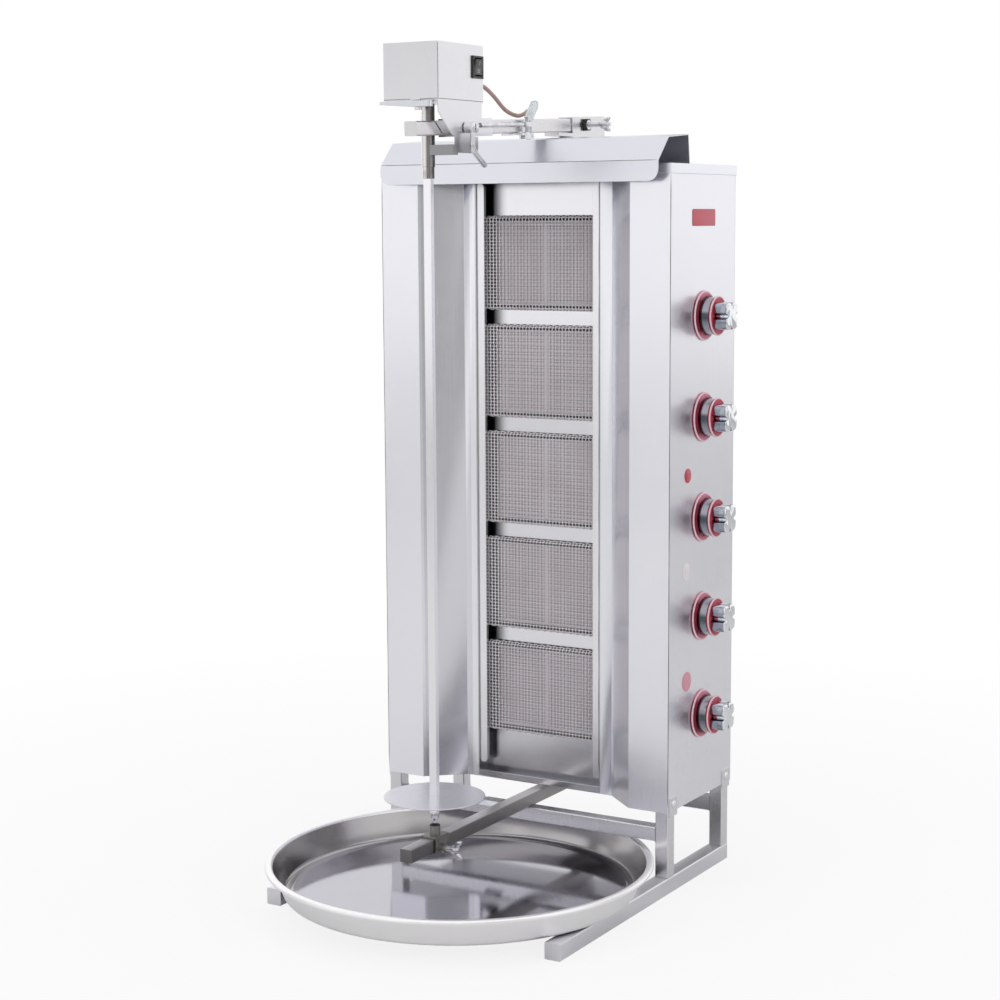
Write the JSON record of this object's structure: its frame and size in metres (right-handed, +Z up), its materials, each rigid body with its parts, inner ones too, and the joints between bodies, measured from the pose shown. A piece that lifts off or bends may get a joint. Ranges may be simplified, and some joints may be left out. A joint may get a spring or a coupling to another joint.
{
  "type": "gas doner kebab grill",
  "caption": "Upright gas grill with stacked ceramic burners between folded wings, a motor-driven spit held between two arms, side knobs and a round drip pan.",
  "frame": {"origin": "middle of the stand on the floor, in line with the body's front face", "axes": "+X to the right seen from the front, +Y towards the back, +Z up"},
  "size_m": [0.5858, 0.7263, 1.2503],
  "materials": {
    "steel_panel": "brushed",
    "steel_shaded": "brushed",
    "steel_frame": "satin",
    "bright_metal": "polished",
    "white_enamel": "gloss",
    "mesh": "matte",
    "ceramic": "matte",
    "brass": "satin",
    "copper": "satin",
    "red_plate": "gloss",
    "knob": "gloss",
    "arm": "satin",
    "motor": "matte",
    "black_plastic": "matte",
    "clear_grip": "gloss",
    "cord": "matte"
  },
  "bodies": {
    "stand": {"skid_left": "steel_frame", "skid_right": "steel_frame", "frame_posts": "steel_frame", "cross_rails": "steel_frame", "body_bolts": "bright_metal", "side_panel_left": "steel_panel", "side_panel_right": "steel_panel", "back_panel": "steel_panel", "bottom_plate": "steel_panel", "top_cap": "steel_panel", "wing_left": "steel_shaded", "wing_right": "steel_shaded", "burner_channel": "steel_panel", "mesh_rails": "steel_panel", "hood": "steel_panel", "burner_housings": "steel_shaded", "burner_plaques": "ceramic", "mesh_trays": "mesh", "gas_manifold": "brass", "gas_valves": "brass", "burner_pipes": "copper", "thermocouples": "copper", "dial_plates": "red_plate", "lower_arm": "arm", "pan_clip": "steel_panel", "arm_bracket": "steel_panel", "cord_clip": "black_plastic", "cord_drop": "cord", "cord_coil": "cord", "plug": "black_plastic"},
    "arm": {"upper_arm": "arm", "head_carriage": "steel_panel", "motor_housing": "steel_panel", "gear_motor": "motor", "switch_frame": "black_plastic", "toggle_base": "bright_metal", "cord_gland": "black_plastic", "cord_lead": "cord"},
    "spit": {"drive_shaft": "bright_metal", "spit_bar": "steel_frame", "spit_disc": "steel_panel"},
    "foot": {"foot_holder": "steel_frame"},
    "foot_screw": {"foot_wing_screw": "bright_metal"},
    "bracket_bolt": {"bracket_wing_bolt": "bright_metal"},
    "rocker": {"switch_rocker": "black_plastic"},
    "clamp": {"clamp_handle": "bright_metal"},
    "paddle": {"head_lever": "steel_panel"},
    "toggle": {"toggle_lever": "clear_grip"},
    "toggle_bar": {"toggle_rod": "bright_metal"},
    "drip_pan": {"pan": "steel_panel"},
    "valve_stem_1": {"stem_1": "bright_metal"},
    "knob_1": {"knob_1": "knob"},
    "valve_stem_2": {"stem_2": "bright_metal"},
    "knob_2": {"knob_2": "knob"},
    "valve_stem_3": {"stem_3": "bright_metal"},
    "knob_3": {"knob_3": "knob"},
    "valve_stem_4": {"stem_4": "bright_metal"},
    "knob_4": {"knob_4": "knob"},
    "valve_stem_5": {"stem_5": "bright_metal"},
    "knob_5": {"knob_5": "knob"}
  },
  "joints": [
    {"name": "arm_slide", "type": "slide", "parent": "stand", "child": "arm", "axis": [0, 0.999, 0.0454], "range_m": [-0.04, 0.04], "deforming": ["cord_lead"]},
    {"name": "foot_slide", "type": "slide", "parent": "stand", "child": "foot", "axis": [0, 1, 0], "range_m": [-0.04, 0.04]},
    {"name": "spit_turn", "type": "hinge", "parent": "arm", "child": "spit", "pos_m": [0, -0.255, 0.6], "axis": [0, 0, 1], "continuous": true},
    {"name": "foot_screw_turn", "type": "hinge", "parent": "foot", "child": "foot_screw", "pos_m": [0.02, -0.255, 0.106], "axis": [1, 0, 0], "range_deg": [-180, 180]},
    {"name": "bracket_bolt_turn", "type": "hinge", "parent": "stand", "child": "bracket_bolt", "pos_m": [0.04, 0.14459, 1.15315], "axis": [1, 0, 0], "range_deg": [-180, 180]},
    {"name": "rocker_tip", "type": "hinge", "parent": "arm", "child": "rocker", "pos_m": [0.045, -0.196, 1.22], "axis": [0, 1, 0], "range_deg": [-14, 0]},
    {"name": "clamp_turn", "type": "hinge", "parent": "arm", "child": "clamp", "pos_m": [0.05, -0.22803, 1.13623], "axis": [1, 0, 0], "range_deg": [-90, 180]},
    {"name": "paddle_turn", "type": "hinge", "parent": "arm", "child": "paddle", "pos_m": [0.017, -0.305, 1.164], "axis": [0, 0, 1], "range_deg": [0, 40]},
    {"name": "toggle_turn", "type": "hinge", "parent": "arm", "child": "toggle", "pos_m": [0.038, -0.04155, 1.12998], "axis": [1, 0, 0], "range_deg": [0, 35]},
    {"name": "toggle_bar_slide", "type": "slide", "parent": "arm", "child": "toggle_bar", "axis": [0, -0.999, -0.0454], "range_m": [0, 0.012]},
    {"name": "pan_slide", "type": "slide", "parent": "stand", "child": "drip_pan", "axis": [0, -1, 0], "range_m": [0, 0.14]},
    {"name": "stem_1_push", "type": "slide", "parent": "stand", "child": "valve_stem_1", "axis": [-1, 0, 0], "range_m": [0, 0.003], "stiffness_N_per_m": 2000, "springref_m": -0.001},
    {"name": "knob_1_turn", "type": "hinge", "parent": "valve_stem_1", "child": "knob_1", "pos_m": [0.26, 0.114, 0.865], "axis": [1, 0, 0], "range_deg": [0, 210]},
    {"name": "stem_2_push", "type": "slide", "parent": "stand", "child": "valve_stem_2", "axis": [-1, 0, 0], "range_m": [0, 0.003], "stiffness_N_per_m": 2000, "springref_m": -0.001},
    {"name": "knob_2_turn", "type": "hinge", "parent": "valve_stem_2", "child": "knob_2", "pos_m": [0.26, 0.114, 0.713], "axis": [1, 0, 0], "range_deg": [0, 210]},
    {"name": "stem_3_push", "type": "slide", "parent": "stand", "child": "valve_stem_3", "axis": [-1, 0, 0], "range_m": [0, 0.003], "stiffness_N_per_m": 2000, "springref_m": -0.001},
    {"name": "knob_3_turn", "type": "hinge", "parent": "valve_stem_3", "child": "knob_3", "pos_m": [0.26, 0.114, 0.561], "axis": [1, 0, 0], "range_deg": [0, 210]},
    {"name": "stem_4_push", "type": "slide", "parent": "stand", "child": "valve_stem_4", "axis": [-1, 0, 0], "range_m": [0, 0.003], "stiffness_N_per_m": 2000, "springref_m": -0.001},
    {"name": "knob_4_turn", "type": "hinge", "parent": "valve_stem_4", "child": "knob_4", "pos_m": [0.26, 0.114, 0.409], "axis": [1, 0, 0], "range_deg": [0, 210]},
    {"name": "stem_5_push", "type": "slide", "parent": "stand", "child": "valve_stem_5", "axis": [-1, 0, 0], "range_m": [0, 0.003], "stiffness_N_per_m": 2000, "springref_m": -0.001},
    {"name": "knob_5_turn", "type": "hinge", "parent": "valve_stem_5", "child": "knob_5", "pos_m": [0.26, 0.114, 0.257], "axis": [1, 0, 0], "range_deg": [0, 210]}
  ],
  "couplings": [
    {"joint": "foot_slide", "follows": "arm_slide", "ratio": 0.99897},
    {"joint": "toggle_bar_slide", "follows": "toggle_turn", "m_per_rad": 0.019}
  ]
}
